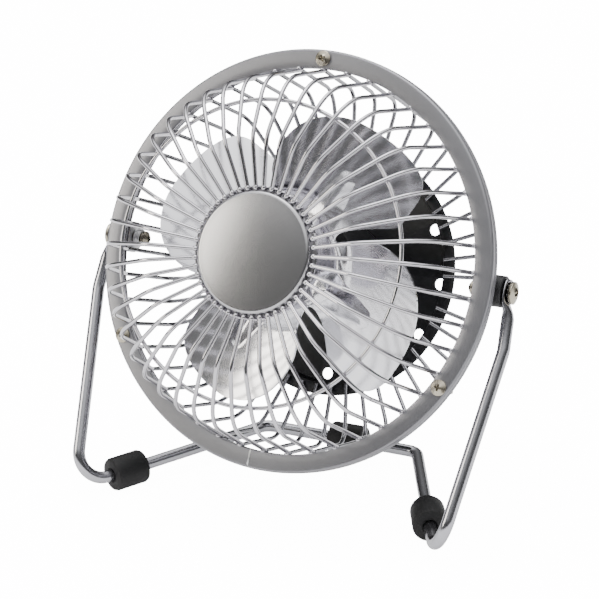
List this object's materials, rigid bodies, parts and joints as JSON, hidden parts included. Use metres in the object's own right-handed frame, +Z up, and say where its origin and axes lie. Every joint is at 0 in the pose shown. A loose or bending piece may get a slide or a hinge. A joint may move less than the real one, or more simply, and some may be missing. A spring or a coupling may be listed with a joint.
{
  "type": "desk fan",
  "caption": "Small metal desk fan: a round wire-caged head with a satin cap tilts between the arms of a bent rod stand on rubber feet.",
  "frame": {"origin": "on the table at the centre of the object's plan outline", "axes": "+Z up, the fan faces and blows towards -Y, +X to the right for a viewer who looks along +Y"},
  "size_m": [0.1534, 0.1054, 0.1481],
  "materials": {
    "satin_rod": "satin steel rod",
    "satin_paint": "satin silver paint",
    "guard_wire": "satin plated wire",
    "rear_wire": "satin plated wire, in shade",
    "spun_cap": "satin spun aluminium",
    "blade_sheet": "bare rolled aluminium",
    "rubber": "black rubber",
    "black_plastic": "black moulded plastic",
    "black_metal": "black painted sheet",
    "screw_plate": "bright nickel plate",
    "dark_steel": "dark steel",
    "motor_steel": "zinc plated steel",
    "magnet": "ferrite",
    "pale_plastic": "pale moulded plastic",
    "bronze": "sintered bronze and brass",
    "copper": "enamelled copper wire",
    "lead_sheath": "coloured sheath"
  },
  "bodies": {
    "stand": {"stand_frame": "satin_rod", "front_foot_left": "rubber", "front_foot_right": "rubber", "rear_foot": "rubber", "pivot_bushes": "black_plastic", "outer_pivot_screws": "screw_plate", "star_washers": "dark_steel", "inner_pivot_screws": "screw_plate", "friction_springs": "motor_steel"},
    "head": {"front_ring": "satin_paint", "ring_screws": "screw_plate", "ring_nuts": "screw_plate", "guard_clips": "motor_steel", "front_guard_wires": "guard_wire", "front_guard_hoops": "guard_wire", "front_cap": "spun_cap", "cap_backplate": "guard_wire", "rear_guard_wires": "rear_wire", "rear_guard_hoop": "rear_wire", "pivot_brackets": "motor_steel", "rear_plate": "black_metal", "motor_housing": "black_plastic", "motor_can": "motor_steel", "motor_magnets": "magnet", "motor_end_bell": "pale_plastic", "motor_bushings": "bronze", "brush_terminals": "bronze", "motor_screws": "screw_plate", "motor_leads": "lead_sheath", "rear_cover": "black_plastic", "cover_screws": "screw_plate", "switch_body": "black_plastic", "cable_grommet": "rubber"},
    "rotor": {"fan_blades": "blade_sheet", "fan_hub": "black_plastic", "hub_push_nut": "motor_steel", "rotor_shaft": "motor_steel", "armature_core": "dark_steel", "armature_windings": "copper", "commutator": "bronze"},
    "rocker": {"switch_rocker": "black_plastic"}
  },
  "joints": [
    {"name": "head_tilt", "type": "hinge", "parent": "stand", "child": "head", "pos_m": [0, 0.00274, 0.0802], "axis": [1, 0, 0], "continuous": true},
    {"name": "blade_spin", "type": "hinge", "parent": "head", "child": "rotor", "pos_m": [0, -0.00639, 0.08427], "axis": [0, 0.9135, -0.4067], "continuous": true},
    {"name": "switch_rocker_tip", "type": "hinge", "parent": "head", "child": "rocker", "pos_m": [0, 0.04724, 0.07024], "axis": [1, 0, 0], "range_deg": [0, 14]}
  ]
}
